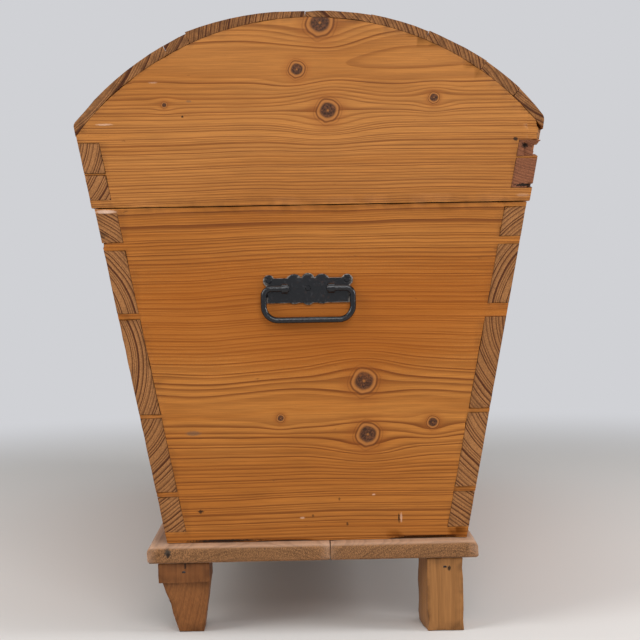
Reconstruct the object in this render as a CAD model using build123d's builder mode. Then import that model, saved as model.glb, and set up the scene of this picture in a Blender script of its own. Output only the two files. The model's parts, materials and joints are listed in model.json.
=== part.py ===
from build123d import *

import math
import os

# Dome top chest: a flared pine box with dovetailed corners on a boarded base with four feet,
# an arched lid hinged along the back, a chest lock, and a drop handle on each end.
# Millimetres. X runs along the chest with the right end at +X, Y from front to back, Z up.
# The origin is on the floor under the middle of the box.

# Box
box_length = 1064
box_bottom_depth = 314
box_height = 351
wall_lean = 11.2
board_thickness = 22
lower_seam_height = 133
upper_seam_height = 238

# Dovetail pins, as heights above the bottom of the box or lid and widths at the end face
pin_flare = 10
box_pins_front = ((51, 5), (133, 4), (238, 6), (311, 8))
box_pins_back = ((51, 5), (133, 4), (238, 14), (311, 8))
box_bottom_pin = 11.6
box_top_pin = 5
lid_pins_front = ((35.5, 1.6),)
lid_bottom_pin_front = 8.3
lid_tail_drop_front = 7.6
lid_pins_back = ((46, 1.6),)
lid_bottom_pin_back = 14
lid_tail_drop_back = 12

# Base and feet
foot_height = 76
base_thickness = 18
base_front_overhang = 20
base_back_overhang = 10
base_end_overhang = 18
base_seam_shift = 13
base_top_rounding = 6.5
base_low_rounding = 3
front_foot_block = 54
front_foot_block_height = 21
front_foot_inset = 11
front_foot_shoulder = 4
front_foot_toe_inset = 19.5
front_foot_toe = 26.5
back_foot_width = 38
back_foot_inner_width = 44
back_foot_length = 50
back_foot_inset = 16
foot_end_inset = 4

# Lid
lid_gap = 0.8
lid_overhang = 3
gable_radius = 308
gable_crown = 196.5
plank_crown_thickness = 6.4
dome_flattening = 9.5
plank_gap = 0.6
plank_seam_shares = (-0.609, -0.511, -0.012, 0.267, 0.51, 0.748, 0.89)
eave_overhang = 0.6
eave_rounding = 7

# Handles
handle_shift = -4.8
handle_height = 357.6
plate_width = 88
plate_top = 11.5
plate_bottom = 14.5
plate_thickness = 2
ear_radius = 6
ear_spacing = 82
ear_rise = 9
middle_lobe_radius = 7
middle_lobe_reach = 16.7
side_lobe_radius = 9
side_lobe_reach = 15.6
side_lobe_spacing = 29
bail_radius = 3.2
bail_width = 93
bail_drop = 33
bail_shoulder_radius = 7.5
bail_corner_radius = 15
bail_standoff = 8
bail_pivot_rise = 0.7
bail_play = 0.08
eye_spacing = 48.6
eye_width = 6.4
eye_wall = 2
eye_neck_height = 7
stub_reach = 1.4

# Hinges
hinge_spacing = 640
leaf_thickness = 2.5
barrel_radius = 5
hinge_pin_radius = 2.4
hinge_play = 0.05
knuckle_length = 10
middle_knuckle_length = 13.4
knuckle_gap = 0.3
hinge_drop = 5.5
barrel_gap = 0.3
strap_past_seam = 40.4
strap_width = 34
strap_tip_width = 20
strap_tip_radius = 14
strap_top = 3
neck_height = 10
lid_leaf_length = 58
lid_leaf_start = 7
lid_leaf_rounding = 8
pin_end = 1.5

# Lock, placed from the top inner edge of the front wall
lock_plate_width = 104
lock_plate_height = 66
lock_plate_thickness = 1.5
lock_drop = 2
case_width = 86
case_height = 56
case_depth = 18.5
case_wall = 1.5
key_drop = 30
key_shank_radius = 3
key_play = 0.05
key_turn = 80
key_reach_inside = 16
key_neck = 4.5
bow_radius = 10
bow_hole_radius = 6.2
bow_thickness = 4
bit_reach = 12
bit_thickness = 3
bit_depth = 5.5
bit_length = 5
bolt_clearance = 0.2
bolt_depth = 6.5
bolt_thickness = 3
bolt_rise = 8
bolt_tail_height = 14
bolt_tail_length = 34
bolt_step = -2
nose_height = 6
nose_rise = 2
nose_length = 24
talon_width = 7
talon_play = 0.6
guide_thickness = 4
guide_wall = 2.5
tail_guide_place = -17
nose_guide_place = 17
staple_gap = 4
staple_thickness = 4
staple_depth = 4
staple_width = 8
staple_reach = 16
staple_web_height = 6
staple_plate_width = 30
staple_plate_height = 35
staple_plate_thickness = 2.5
staple_plate_rise = 3
staple_hole_play = 1
slot_play = 0.6
slot_swing = 2.8
keyhole_slot_play = 0.7
board_keyhole_play = 1
escutcheon_half_width = 17
escutcheon_half_height = 26
escutcheon_thickness = 1.5

# Nails
nail_radius = 1.5
nail_length = 32
nail_head_radius = 3
nail_head_height = 1.2
nail_head_taper = 30
nail_sink = 0.8
short_nail_length = 14
base_nail_length = 55
base_nail_count = 5
eave_nail_count = 6
eave_nail_length = 24
plank_nail_shares = (0.25, 0.75)
strap_nail_shares = (0.27, 0.75)
strap_tip_nail_share = 0.63
staple_nail_shares = (0.3, 0.8)
base_end_nail_shares = (-0.35, 0.5)
toe_nail_angle = 45
toe_nail_drop = 12.6

# Sizes that follow
lean = math.radians(wall_lean)
lean_slope = math.tan(lean)
lean_cos = math.cos(lean)
lean_sin = math.sin(lean)
wall_run = board_thickness / lean_cos
base_top = foot_height + base_thickness
box_top = base_top + box_height
box_bottom_half = box_bottom_depth / 2
box_top_half = box_bottom_half + box_height * lean_slope
box_end = box_length / 2
pin_spread = board_thickness * math.tan(math.radians(pin_flare))
lid_bottom = box_top + lid_gap
lid_bottom_half = box_top_half + lid_overhang
gable_centre = lid_bottom + gable_crown - gable_radius
dome_radius = gable_radius + plank_crown_thickness + dome_flattening
dome_crown = lid_bottom + gable_crown + plank_crown_thickness
dome_centre = dome_crown - dome_radius

os.makedirs("parts", exist_ok=True)


def keep(builder, name):
    builder.part.label = name
    export_step(builder.part, f"parts/{name}.step")


def box_half(height):
    return box_bottom_half + (height - base_top) * lean_slope


def lid_half(height):
    return lid_bottom_half + (height - lid_bottom) * lean_slope


def rise_to_arc(half, centre, radius):
    # How far a side that leans out from the lid's bottom at this half depth rises to an arc
    drop = lid_bottom - centre
    half_term = half * lean_slope + drop
    square_term = 1 + lean_slope**2
    last_term = half**2 + drop**2 - radius**2
    return (math.sqrt(half_term**2 - square_term * last_term) - half_term) / square_term


def outline(*points):
    # A closed outline whose points stand where they are given
    Polygon(*points, align=None)


def drive_nail(face, length):
    # A nail whose head stands on the given plane and whose shank runs back from it
    with BuildSketch(face) as shank:
        Circle(nail_radius)
    extrude(shank.sketch, amount=-length)
    with BuildSketch(face) as head:
        Circle(nail_head_radius)
    extrude(head.sketch, amount=nail_head_height, taper=nail_head_taper)


def cut_pins(side, start, pins, low_pin, high_pin_low, high_pin_high):
    # The dovetail sockets at both ends of a wall: pins are narrow at the end face
    reach = lid_bottom_half * 2
    for end in (-1, 1):
        outer = end * box_end
        inner = end * (box_end - board_thickness)
        with BuildSketch(Plane.XZ) as sockets:
            for height, width in pins:
                middle = start + height
                half = width / 2
                outline(
                    (outer, middle - half),
                    (outer, middle + half),
                    (inner, middle + half + pin_spread),
                    (inner, middle - half - pin_spread),
                )
            outline(
                (outer, start),
                (outer, start + low_pin),
                (inner, start + low_pin + pin_spread),
                (inner, start),
            )
            outline(
                (outer, start + high_pin_low),
                (outer, start + high_pin_high),
                (inner, start + high_pin_high),
                (inner, start + high_pin_low - pin_spread),
            )
        extrude(sockets.sketch, amount=-side * reach, mode=Mode.SUBTRACT)


# Front and back walls of the box: three boards each, edge to edge, with level seams
def wall_board(side, low, high, pins):
    low_half = box_half(base_top + low)
    high_half = box_half(base_top + high)
    with BuildPart() as board:
        with BuildSketch(Plane.YZ.offset(-box_end)):
            outline(
                (side * low_half, base_top + low),
                (side * high_half, base_top + high),
                (side * (high_half - wall_run), base_top + high),
                (side * (low_half - wall_run), base_top + low),
            )
        extrude(amount=box_length)
        cut_pins(side, base_top, pins, box_bottom_pin, box_height - box_top_pin, box_height)
    return board


# The lock's plane is the inner face of the front wall, with its origin on the wall's top edge
inward = Vector(0, lean_cos, lean_sin)
lock_face = Plane(
    origin=(0, -box_top_half + wall_run, box_top),
    x_dir=(1, 0, 0),
    z_dir=(0, -lean_cos, -lean_sin),
)
key_axis = lock_face.from_local_coords(Vector(0, -key_drop, 0))
front_face = lock_face.offset(board_thickness)


def keyhole(face, play, slot_play):
    with BuildSketch(face) as hole:
        with Locations((0, -key_drop)):
            Circle(key_shank_radius + play)
        with Locations((0, -key_drop)):
            Rectangle(
                bit_thickness + 2 * slot_play,
                bit_reach + slot_play,
                align=(Align.CENTER, Align.MAX),
            )
    return hole.sketch


with BuildPart() as front_board_upper:
    add(wall_board(-1, upper_seam_height, box_height, box_pins_front).part)
    extrude(
        keyhole(lock_face, board_keyhole_play, board_keyhole_play),
        amount=board_thickness,
        mode=Mode.SUBTRACT,
    )

front_boards = [
    ("front_board_lower", wall_board(-1, 0, lower_seam_height, box_pins_front)),
    ("front_board_middle", wall_board(-1, lower_seam_height, upper_seam_height, box_pins_front)),
    ("front_board_upper", front_board_upper),
]
back_boards = [
    ("back_board_lower", wall_board(1, 0, lower_seam_height, box_pins_back)),
    ("back_board_middle", wall_board(1, lower_seam_height, upper_seam_height, box_pins_back)),
    ("back_board_upper", wall_board(1, upper_seam_height, box_height, box_pins_back)),
]
for name, board in front_boards + back_boards:
    keep(board, name)

# End panels: one wide board each, whose pins fill the sockets of the walls
with BuildPart() as right_end_panel:
    with BuildSketch(Plane.YZ.offset(box_end - board_thickness)):
        outline(
            (-box_bottom_half, base_top),
            (box_bottom_half, base_top),
            (box_top_half, box_top),
            (-box_top_half, box_top),
        )
    extrude(amount=board_thickness)
    for name, board in front_boards + back_boards:
        add(board.part, mode=Mode.SUBTRACT)
keep(right_end_panel, "right_end_panel")

with BuildPart() as left_end_panel:
    mirror(right_end_panel.part, about=Plane.YZ)
keep(left_end_panel, "left_end_panel")

# Base: two planks with rounded outer edges
base_length = box_length + 2 * base_end_overhang
base_front = -box_bottom_half - base_front_overhang
base_back = box_bottom_half + base_back_overhang


def base_plank(low, high, seam_index):
    with BuildPart() as plank:
        with BuildSketch(Plane.XY.offset(foot_height)):
            with Locations((0, (low + high) / 2)):
                Rectangle(base_length, high - low)
        extrude(amount=base_thickness)
        upper = plank.faces().sort_by(Axis.Z)[-1].edges().sort_by(Axis.Y)
        upper.pop(seam_index)
        fillet(upper, radius=base_top_rounding)
        lower = plank.faces().sort_by(Axis.Z)[0].edges().sort_by(Axis.Y)
        lower.pop(seam_index)
        fillet(lower, radius=base_low_rounding)
    return plank


base_plank_front = base_plank(base_front, base_seam_shift, -1)
base_plank_back = base_plank(base_seam_shift, base_back, 0)
keep(base_plank_front, "base_plank_front")
keep(base_plank_back, "base_plank_back")

# Front feet: a square block over a leg that tapers most on its two outer sides
foot_end = base_length / 2 - foot_end_inset
front_foot_side = base_front + front_foot_inset
shoulder_height = foot_height - front_foot_block_height
leg_top = front_foot_block - front_foot_shoulder

with BuildPart() as front_right_foot:
    with BuildSketch(Plane.XY.offset(shoulder_height)):
        with Locations((foot_end, front_foot_side)):
            Rectangle(front_foot_block, front_foot_block, align=(Align.MAX, Align.MIN))
    extrude(amount=front_foot_block_height)
    with BuildSketch(Plane.XY.offset(shoulder_height)):
        with Locations((foot_end - front_foot_shoulder, front_foot_side + front_foot_shoulder)):
            Rectangle(leg_top, leg_top, align=(Align.MAX, Align.MIN))
    with BuildSketch(Plane.XY):
        with Locations((foot_end - front_foot_toe_inset, front_foot_side + front_foot_toe_inset)):
            Rectangle(front_foot_toe, front_foot_toe, align=(Align.MAX, Align.MIN))
    loft()
keep(front_right_foot, "front_right_foot")

with BuildPart() as front_left_foot:
    mirror(front_right_foot.part, about=Plane.YZ)
keep(front_left_foot, "front_left_foot")

# Back feet: plain blocks, a little wider at their inner end
back_foot_side = base_back - back_foot_inset
with BuildPart() as back_right_foot:
    with BuildSketch(Plane.XY):
        outline(
            (foot_end, back_foot_side),
            (foot_end, back_foot_side - back_foot_width),
            (foot_end - back_foot_length, back_foot_side - back_foot_inner_width),
            (foot_end - back_foot_length, back_foot_side),
        )
    extrude(amount=foot_height)
keep(back_right_foot, "back_right_foot")

with BuildPart() as back_left_foot:
    mirror(back_right_foot.part, about=Plane.YZ)
keep(back_left_foot, "back_left_foot")


# Lid: leaning rails front and back, an arched board at each end, and planks over both
lid_side_rise = rise_to_arc(lid_bottom_half, gable_centre, gable_radius)


def lid_sides():
    half = lid_bottom_half
    upper_half = half + gable_radius * lean_slope
    outline(
        (-half, lid_bottom),
        (half, lid_bottom),
        (upper_half, lid_bottom + gable_radius),
        (-upper_half, lid_bottom + gable_radius),
    )


def lid_rail(side, pins, bottom_pin, tail_drop):
    with BuildPart() as rail:
        rise = gable_radius
        with BuildSketch(Plane.YZ.offset(-box_end)):
            outline(
                (side * lid_bottom_half, lid_bottom),
                (side * (lid_bottom_half + rise * lean_slope), lid_bottom + rise),
                (side * (lid_bottom_half + rise * lean_slope - wall_run), lid_bottom + rise),
                (side * (lid_bottom_half - wall_run), lid_bottom),
            )
            with Locations((0, gable_centre)):
                Circle(gable_radius, mode=Mode.INTERSECT)
        extrude(amount=box_length)
        cut_pins(side, lid_bottom, pins, bottom_pin, lid_side_rise - tail_drop, gable_crown)
    return rail


lid_front_rail = lid_rail(-1, lid_pins_front, lid_bottom_pin_front, lid_tail_drop_front)
lid_back_rail = lid_rail(1, lid_pins_back, lid_bottom_pin_back, lid_tail_drop_back)
keep(lid_front_rail, "lid_front_rail")
keep(lid_back_rail, "lid_back_rail")

with BuildPart() as lid_right_end:
    with BuildSketch(Plane.YZ.offset(box_end - board_thickness)):
        lid_sides()
        with Locations((0, gable_centre)):
            Circle(gable_radius, mode=Mode.INTERSECT)
    extrude(amount=board_thickness)
    add(lid_front_rail.part, mode=Mode.SUBTRACT)
    add(lid_back_rail.part, mode=Mode.SUBTRACT)
keep(lid_right_end, "lid_right_end")

with BuildPart() as lid_left_end:
    mirror(lid_right_end.part, about=Plane.YZ)
keep(lid_left_end, "lid_left_end")


# Dome planks, cut along radii of the dome's outer arc and laid on the arc of the end boards
def dome_point(angle):
    return (dome_radius * math.sin(angle), dome_centre + dome_radius * math.cos(angle))


def underside_point(angle):
    rise = gable_centre - dome_centre
    reach = rise * math.cos(angle) + math.sqrt(gable_radius**2 - (rise * math.sin(angle)) ** 2)
    return (reach * math.sin(angle), dome_centre + reach * math.cos(angle))


# The eave planks are drawn to just past the lid's side and then cut off along it
eave_bottom_half = lid_bottom_half + eave_overhang
eave_rise = rise_to_arc(eave_bottom_half, dome_centre, dome_radius)
eave_half = eave_bottom_half + eave_rise * lean_slope
low_rise = rise_to_arc(eave_bottom_half, gable_centre, gable_radius)
low_half = eave_bottom_half + low_rise * lean_slope
eave_angle = math.atan2(low_half, lid_bottom + low_rise - dome_centre) + plank_gap / dome_radius
seam_angles = [math.asin(share * eave_half / dome_radius) for share in plank_seam_shares]
plank_starts = [-eave_angle] + seam_angles
plank_ends = seam_angles + [eave_angle]
half_gap_angle = plank_gap / 2 / dome_radius
plank_count = len(plank_starts)

for number in range(plank_count):
    start = plank_starts[number] + half_gap_angle
    end = plank_ends[number] - half_gap_angle
    middle = (start + end) / 2
    with BuildPart() as lid_plank:
        with BuildSketch(Plane.YZ.offset(-box_end)) as section:
            with BuildLine():
                ThreePointArc(dome_point(start), dome_point(middle), dome_point(end))
                Line(dome_point(end), underside_point(end))
                ThreePointArc(underside_point(end), underside_point(middle), underside_point(start))
                Line(underside_point(start), dome_point(start))
            make_face()
            if number in (0, plank_count - 1):
                with BuildLine():
                    upper_half = eave_bottom_half + gable_radius * lean_slope
                    Polyline(
                        (-eave_bottom_half, lid_bottom),
                        (eave_bottom_half, lid_bottom),
                        (upper_half, lid_bottom + gable_radius),
                        (-upper_half, lid_bottom + gable_radius),
                        close=True,
                    )
                make_face(mode=Mode.INTERSECT)
                corners = section.vertices().sort_by(Axis.X)
                fillet(corners[0] if number == 0 else corners[-1], radius=eave_rounding)
        extrude(amount=box_length)
    keep(lid_plank, f"lid_plank_{number + 1}")

# Nails of the planks: two in each end of a plank, and a row through each eave into the rail
nail_line = box_end - board_thickness / 2


def dome_nail(along, angle, length):
    normal = Vector(0, math.sin(angle), math.cos(angle))
    place = Vector(along, *dome_point(angle)) - normal * nail_sink
    drive_nail(Plane(origin=place, x_dir=(1, 0, 0), z_dir=normal), length)


# Where the middle line of a rail meets the arc of the end boards, as an angle of the dome
rail_middle = lid_bottom_half - wall_run / 2
rail_rise = rise_to_arc(rail_middle, gable_centre, gable_radius)
rail_angle = math.atan2(rail_middle + rail_rise * lean_slope, lid_bottom + rail_rise - dome_centre)

with BuildPart() as lid_plank_nails:
    for number in range(plank_count):
        low = max(plank_starts[number], -rail_angle)
        high = min(plank_ends[number], rail_angle)
        for share in plank_nail_shares:
            for end in (-1, 1):
                dome_nail(end * nail_line, low + (high - low) * share, nail_length)
    for step in range(eave_nail_count):
        along = (step + 0.5) / eave_nail_count * box_length - box_end
        dome_nail(along, -rail_angle, eave_nail_length)
        dome_nail(along, rail_angle, eave_nail_length)
keep(lid_plank_nails, "lid_plank_nails")

# Nails under the base, up into the walls and the end panels
with BuildPart() as base_nails:
    wall_middle = box_bottom_half - wall_run / 2
    for step in range(base_nail_count):
        along = (step + 0.5) / base_nail_count * box_length - box_end
        for across in (-wall_middle, wall_middle):
            under = (along, across, foot_height + nail_sink)
            drive_nail(Plane(origin=under, z_dir=(0, 0, -1)), base_nail_length)
    for end in (-1, 1):
        for share in base_end_nail_shares:
            under = (end * nail_line, box_bottom_half * share, foot_height + nail_sink)
            drive_nail(Plane(origin=under, z_dir=(0, 0, -1)), base_nail_length)
keep(base_nails, "base_nails")

# Toe nails: one through the outer end of each foot, up into the base
toe_nail_height = foot_height - toe_nail_drop
with BuildPart() as foot_nails:
    tilt = math.radians(toe_nail_angle)
    for end in (-1, 1):
        for across in (front_foot_side + front_foot_block / 2, back_foot_side - back_foot_width / 2):
            out = Vector(end * math.cos(tilt), 0, -math.sin(tilt))
            place = Vector(end * foot_end, across, toe_nail_height)
            drive_nail(Plane(origin=place - out * nail_head_radius, z_dir=out), nail_length)
keep(foot_nails, "foot_nails")

# Handles: plate with lobed edges, two eyes, a bail and nails
handle_face = Plane(
    origin=(box_end, handle_shift, handle_height),
    x_dir=(0, 1, 0),
    z_dir=(1, 0, 0),
)
handle_nail_places = [(-ear_spacing / 2, ear_rise), (ear_spacing / 2, ear_rise), (0, bail_pivot_rise)]

with BuildPart() as right_handle_plate:
    with BuildSketch(handle_face):
        with Locations((0, (plate_top - plate_bottom) / 2)):
            Rectangle(plate_width, plate_top + plate_bottom)
        with Locations((-ear_spacing / 2, ear_rise), (ear_spacing / 2, ear_rise)):
            Circle(ear_radius)
        middle_rise = middle_lobe_reach - middle_lobe_radius
        with Locations((0, middle_rise), (0, -middle_rise)):
            Circle(middle_lobe_radius)
        side_rise = side_lobe_reach - side_lobe_radius
        with GridLocations(side_lobe_spacing, 2 * side_rise, 2, 2):
            Circle(side_lobe_radius)
        with Locations(*handle_nail_places):
            Circle(nail_radius, mode=Mode.SUBTRACT)
    extrude(amount=plate_thickness)
keep(right_handle_plate, "right_handle_plate")

eye_radius = bail_radius + bail_play + eye_wall
with BuildPart() as right_handle_eyes:
    for across in (-eye_spacing / 2, eye_spacing / 2):
        eye_face = Plane(
            origin=(box_end + plate_thickness, handle_shift + across, handle_height + bail_pivot_rise),
            x_dir=(1, 0, 0),
            z_dir=(0, -1, 0),
        )
        with BuildSketch(eye_face):
            Rectangle(bail_standoff - plate_thickness, eye_neck_height, align=(Align.MIN, Align.CENTER))
            with Locations((bail_standoff - plate_thickness, 0)):
                Circle(eye_radius)
                Circle(bail_radius + bail_play, mode=Mode.SUBTRACT)
        extrude(amount=eye_width / 2, both=True)
keep(right_handle_eyes, "right_handle_eyes")

with BuildPart() as right_bail:
    bail_face = handle_face.offset(bail_standoff).shift_origin(
        (box_end + bail_standoff, handle_shift, handle_height + bail_pivot_rise)
    )
    stub_end = eye_spacing / 2 - eye_width / 2 - stub_reach
    half_width = bail_width / 2
    with BuildLine(bail_face) as bail_line:
        FilletPolyline(
            (-stub_end, 0),
            (-half_width, 0),
            (-half_width, -bail_drop),
            (half_width, -bail_drop),
            (half_width, 0),
            (stub_end, 0),
            radius=[bail_shoulder_radius, bail_corner_radius, bail_corner_radius, bail_shoulder_radius],
        )
    with BuildSketch(Plane(origin=bail_line.line @ 0, z_dir=bail_line.line % 0)):
        Circle(bail_radius)
    sweep()
keep(right_bail, "right_bail")

with BuildPart() as left_handle_plate:
    mirror(right_handle_plate.part, about=Plane.YZ)
keep(left_handle_plate, "left_handle_plate")

with BuildPart() as left_handle_eyes:
    mirror(right_handle_eyes.part, about=Plane.YZ)
keep(left_handle_eyes, "left_handle_eyes")

with BuildPart() as left_bail:
    mirror(right_bail.part, about=Plane.YZ)
keep(left_bail, "left_bail")

with BuildPart() as handle_nails:
    for end in (-1, 1):
        for across, up in handle_nail_places:
            place = (end * (box_end + plate_thickness), handle_shift + across, handle_height + up)
            drive_nail(Plane(origin=place, z_dir=(end, 0, 0)), short_nail_length)
keep(handle_nails, "handle_nails")

# Hinges: straps on the back wall, leaves on the lid's back rail, knuckles between them
hinge_height = box_top - hinge_drop
hinge_depth = lid_half(hinge_height) + (barrel_radius + barrel_gap) / lean_cos
back_normal = (0, lean_cos, -lean_sin)
knuckle_half = middle_knuckle_length / 2
seam_drop = (hinge_height - base_top - upper_seam_height) / lean_cos
strap_length = seam_drop + strap_past_seam
strap_nail_drops = [seam_drop * share for share in strap_nail_shares]
strap_nail_drops.append(seam_drop + strap_past_seam * strap_tip_nail_share)


def knuckle(start, length):
    # A length of barrel round the pin, up to the hole that is cut later
    with BuildSketch(Plane.YZ.offset(start)) as barrel:
        with Locations((hinge_depth, hinge_height)):
            Circle(barrel_radius)
    extrude(barrel.sketch, amount=length)


def pin_hole(middle):
    with BuildSketch(Plane.YZ.offset(middle)) as hole:
        with Locations((hinge_depth, hinge_height)):
            Circle(hinge_pin_radius + hinge_play)
    extrude(hole.sketch, amount=strap_width, both=True, mode=Mode.SUBTRACT)


def strap_face(middle):
    return Plane(origin=(middle, box_half(hinge_height), hinge_height), x_dir=(-1, 0, 0), z_dir=back_normal)


def leaf_face(middle):
    return Plane(origin=(middle, lid_half(hinge_height), hinge_height), x_dir=(-1, 0, 0), z_dir=back_normal)


def hinge_strap(middle):
    with BuildPart() as strap:
        with BuildSketch(strap_face(middle)):
            outline(
                (-strap_width / 2, strap_top),
                (strap_width / 2, strap_top),
                (strap_tip_width / 2, -strap_length + strap_tip_radius),
                (-strap_tip_width / 2, -strap_length + strap_tip_radius),
            )
            with Locations((0, -strap_length + strap_tip_radius)):
                Circle(strap_tip_radius)
        extrude(amount=leaf_thickness)
        outer_start = knuckle_half + knuckle_gap
        for start in (middle - outer_start - knuckle_length, middle + outer_start):
            knuckle(start, knuckle_length)
            neck_low = hinge_height + strap_top - neck_height
            neck_high = hinge_height + strap_top
            with BuildSketch(Plane.YZ.offset(start)):
                outline(
                    (box_half(neck_low), neck_low),
                    (box_half(neck_high), neck_high),
                    (hinge_depth, neck_high),
                    (hinge_depth, hinge_height - barrel_radius),
                )
            extrude(amount=knuckle_length)
        pin_hole(middle)
    return strap


def lid_leaf(middle):
    with BuildPart() as leaf:
        with BuildSketch(leaf_face(middle)):
            Rectangle(middle_knuckle_length, lid_leaf_start, align=(Align.CENTER, Align.MIN))
            with Locations((0, lid_leaf_start)):
                Rectangle(strap_width, lid_leaf_length - lid_leaf_start, align=(Align.CENTER, Align.MIN))
        extrude(amount=leaf_thickness)
        square_edges = leaf.edges().filter_by(Axis(origin=(0, 0, 0), direction=back_normal))
        fillet(square_edges.group_by(Axis.Z)[-1], radius=lid_leaf_rounding)
        knuckle(middle - knuckle_half, middle_knuckle_length)
        pin_hole(middle)
    return leaf


def hinge_pin(middle):
    pin_half = knuckle_half + knuckle_gap + knuckle_length + pin_end
    with BuildPart() as pin:
        with BuildSketch(Plane.YZ.offset(middle)):
            with Locations((hinge_depth, hinge_height)):
                Circle(hinge_pin_radius)
        extrude(amount=pin_half, both=True)
    return pin


for name, middle in (("right", hinge_spacing / 2), ("left", -hinge_spacing / 2)):
    keep(hinge_strap(middle), f"{name}_hinge_strap")
    keep(lid_leaf(middle), f"{name}_lid_leaf")
    keep(hinge_pin(middle), f"{name}_hinge_pin")

with BuildPart() as strap_nails:
    for middle in (-hinge_spacing / 2, hinge_spacing / 2):
        for drop in strap_nail_drops:
            place = strap_face(middle).from_local_coords(Vector(0, -drop, leaf_thickness))
            drive_nail(Plane(origin=place, z_dir=back_normal), short_nail_length)
keep(strap_nails, "strap_nails")

with BuildPart() as leaf_nails:
    for middle in (-hinge_spacing / 2, hinge_spacing / 2):
        upper_nails = lid_leaf_length - strap_width / 3
        lower_nail = (lid_leaf_start + lid_leaf_length) / 3
        nail_places = (
            (-strap_width / 4, upper_nails),
            (strap_width / 4, upper_nails),
            (0, lower_nail),
        )
        for across, up in nail_places:
            place = leaf_face(middle).from_local_coords(Vector(across, up, leaf_thickness))
            drive_nail(Plane(origin=place, z_dir=back_normal), short_nail_length)
keep(leaf_nails, "leaf_nails")

# Lock: plate and cover on the inner face of the front wall, guides, bolt, key and staple
bolt_throw = 2 * bit_reach * math.sin(math.radians(key_turn / 2))
bolt_low = -key_drop + bolt_rise
bolt_high = bolt_low + bolt_tail_height
nose_high = bolt_high + nose_rise
nose_low = nose_high - nose_height
nose_end = bolt_step + nose_length
staple_place = nose_end + staple_gap
lid_step = (lid_overhang - lid_gap * lean_slope) * lean_cos


def lock_block(along, up, depth, mode=Mode.ADD):
    # A block given by its low and high values along the chest, up the wall and into the box
    with BuildSketch(lock_face.offset(-depth[0])) as side:
        with Locations(((along[0] + along[1]) / 2, (up[0] + up[1]) / 2)):
            Rectangle(along[1] - along[0], up[1] - up[0])
    extrude(side.sketch, amount=depth[0] - depth[1], mode=mode)


with BuildPart() as lock_plate:
    lock_block(
        (-lock_plate_width / 2, lock_plate_width / 2),
        (-lock_drop - lock_plate_height, -lock_drop),
        (0, lock_plate_thickness),
    )
    extrude(
        keyhole(lock_face, key_play, keyhole_slot_play),
        amount=-lock_plate_thickness,
        mode=Mode.SUBTRACT,
    )
keep(lock_plate, "lock_plate")

slot_along = (staple_place - slot_play, staple_place + staple_thickness + slot_play)
slot_depth = (staple_depth - slot_play, staple_depth + staple_width + slot_swing + slot_play)
with BuildPart() as lock_cover:
    lock_block(
        (-case_width / 2, case_width / 2),
        (-lock_drop - case_height, -lock_drop),
        (lock_plate_thickness, lock_plate_thickness + case_depth),
    )
    lock_block(
        (-case_width / 2 + case_wall, case_width / 2 - case_wall),
        (-lock_drop - case_height + case_wall, -lock_drop - case_wall),
        (lock_plate_thickness, lock_plate_thickness + case_depth - case_wall),
        Mode.SUBTRACT,
    )
    lock_block(slot_along, (-lock_drop - case_wall, -lock_drop), slot_depth, Mode.SUBTRACT)
keep(lock_cover, "lock_cover")


def guide(place, low, high):
    along = (place - guide_thickness / 2, place + guide_thickness / 2)
    hole_up = (low - bolt_clearance, high + bolt_clearance)
    hole_depth = (bolt_depth - bolt_clearance, bolt_depth + bolt_thickness + bolt_clearance)
    lock_block(
        along,
        (hole_up[0] - guide_wall, hole_up[1] + guide_wall / 2),
        (lock_plate_thickness, hole_depth[1] + guide_wall),
    )
    lock_block(along, hole_up, hole_depth, Mode.SUBTRACT)


with BuildPart() as lock_guides:
    guide(tail_guide_place, bolt_low, bolt_high)
    guide(nose_guide_place, nose_low, nose_high)
keep(lock_guides, "lock_guides")

with BuildPart() as lock_bolt:
    bolt_span = (bolt_depth, bolt_depth + bolt_thickness)
    lock_block((bolt_step - bolt_tail_length, bolt_step), (bolt_low, bolt_high), bolt_span)
    lock_block((bolt_step, nose_end), (nose_low, nose_high), bolt_span)
    talon_middle = -bolt_throw / 2
    lock_block(
        (talon_middle - talon_width / 2, talon_middle + talon_width / 2),
        (bolt_low, -key_drop + bit_reach + talon_play),
        bolt_span,
        Mode.SUBTRACT,
    )
keep(lock_bolt, "lock_bolt")

# The key stands with its bit in the bolt's talon, half the turn to the left of upright
half_turn = math.radians(key_turn / 2)
bit_direction = lock_face.y_dir * math.cos(half_turn) - lock_face.x_dir * math.sin(half_turn)
key_blade = Plane(origin=key_axis, x_dir=bit_direction, z_dir=bit_direction.cross(lock_face.z_dir))
shank_end = board_thickness + escutcheon_thickness + key_neck
with BuildPart() as key:
    with BuildSketch(Plane(origin=key_axis - lock_face.z_dir * key_reach_inside, z_dir=lock_face.z_dir)):
        Circle(key_shank_radius)
    extrude(amount=key_reach_inside + shank_end - (bow_radius - bow_hole_radius) / 2)
    with BuildSketch(key_blade):
        with Locations((0, -bit_depth)):
            Rectangle(bit_reach, bit_length, align=(Align.MIN, Align.MAX))
    extrude(amount=bit_thickness / 2, both=True)
    with BuildSketch(key_blade):
        with Locations((0, shank_end + bow_hole_radius)):
            Circle(bow_radius)
            Circle(bow_hole_radius, mode=Mode.SUBTRACT)
    extrude(amount=bow_thickness / 2, both=True)
keep(key, "key")

with BuildPart() as escutcheon:
    with BuildSketch(front_face):
        with Locations((0, -key_drop - bit_reach / 2)):
            Ellipse(escutcheon_half_width, escutcheon_half_height)
    extrude(amount=escutcheon_thickness)
    extrude(
        keyhole(front_face, key_play, keyhole_slot_play),
        amount=escutcheon_thickness,
        mode=Mode.SUBTRACT,
    )
keep(escutcheon, "escutcheon")

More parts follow.
